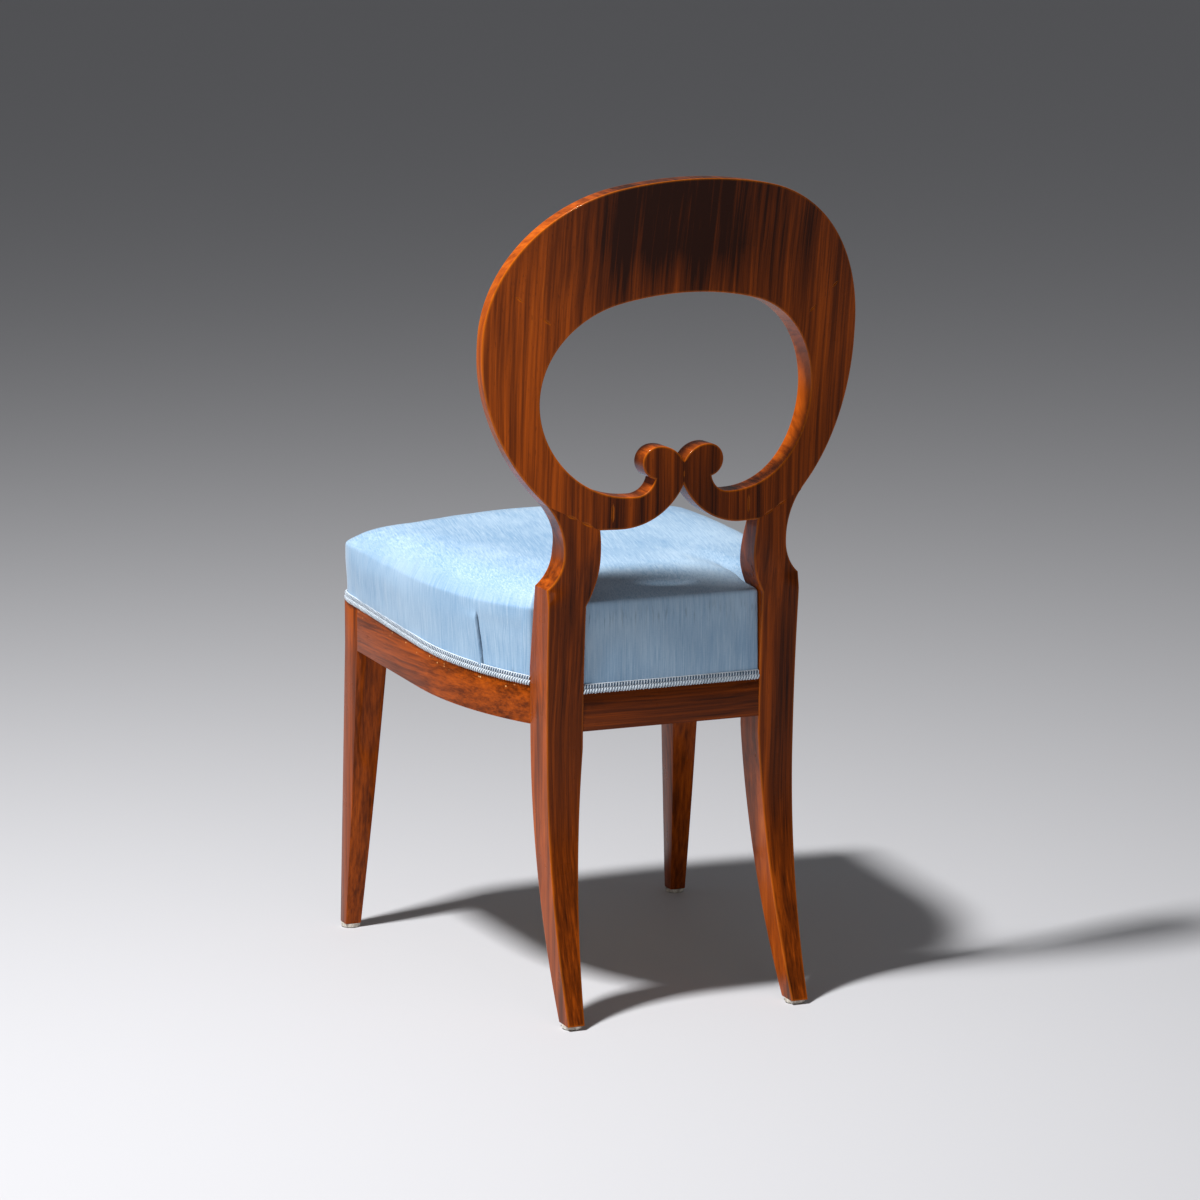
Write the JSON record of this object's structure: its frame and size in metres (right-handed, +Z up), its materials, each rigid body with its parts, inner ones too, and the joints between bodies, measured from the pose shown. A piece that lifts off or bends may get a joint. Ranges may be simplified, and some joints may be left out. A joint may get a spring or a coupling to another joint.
{
  "type": "side chair",
  "caption": "Balloon-back wooden side chair with scrolled lower rail, sabre rear legs, tapered front legs and a sprung upholstered seat edged with gimp.",
  "frame": {"origin": "middle of the chair's footprint at floor level", "axes": "+Z up, the chair faces -Y, +X is the sitter's left"},
  "size_m": [0.4412, 0.531, 0.92],
  "materials": {
    "polished_wood": "french polished fruitwood or walnut veneer with dark figure",
    "joint_wood": "bare beech",
    "webbing": "jute webbing",
    "spring_steel": "drawn wire",
    "canvas": "jute canvas",
    "stuffing": "horsehair and wadding",
    "seat_silk": "pale blue slubbed silk",
    "gimp": "double-cord gimp",
    "glide": "pale moulded glide"
  },
  "bodies": {
    "root": {"crest_rail": "polished_wood", "hoop_side_left": "polished_wood", "hoop_side_right": "polished_wood", "scroll_left": "polished_wood", "scroll_right": "polished_wood", "rear_leg_left": "polished_wood", "rear_leg_right": "polished_wood", "front_leg_left": "polished_wood", "front_leg_right": "polished_wood", "front_rail": "polished_wood", "rear_rail": "polished_wood", "side_rail_left": "polished_wood", "side_rail_right": "polished_wood", "crest_dowels": "joint_wood", "post_dowels": "joint_wood", "scroll_dowel": "joint_wood", "block_front_left": "joint_wood", "block_front_right": "joint_wood", "block_rear_left": "joint_wood", "block_rear_right": "joint_wood", "webbing_long": "webbing", "webbing_cross": "webbing", "seat_springs": "spring_steel", "seat_canvas": "canvas", "seat_stuffing": "stuffing", "seat_cover": "seat_silk", "gimp_round": "gimp", "gimp_rear": "gimp", "glide_front_left": "glide", "glide_front_right": "glide", "glide_rear_left": "glide", "glide_rear_right": "glide"}
  },
  "joints": []
}
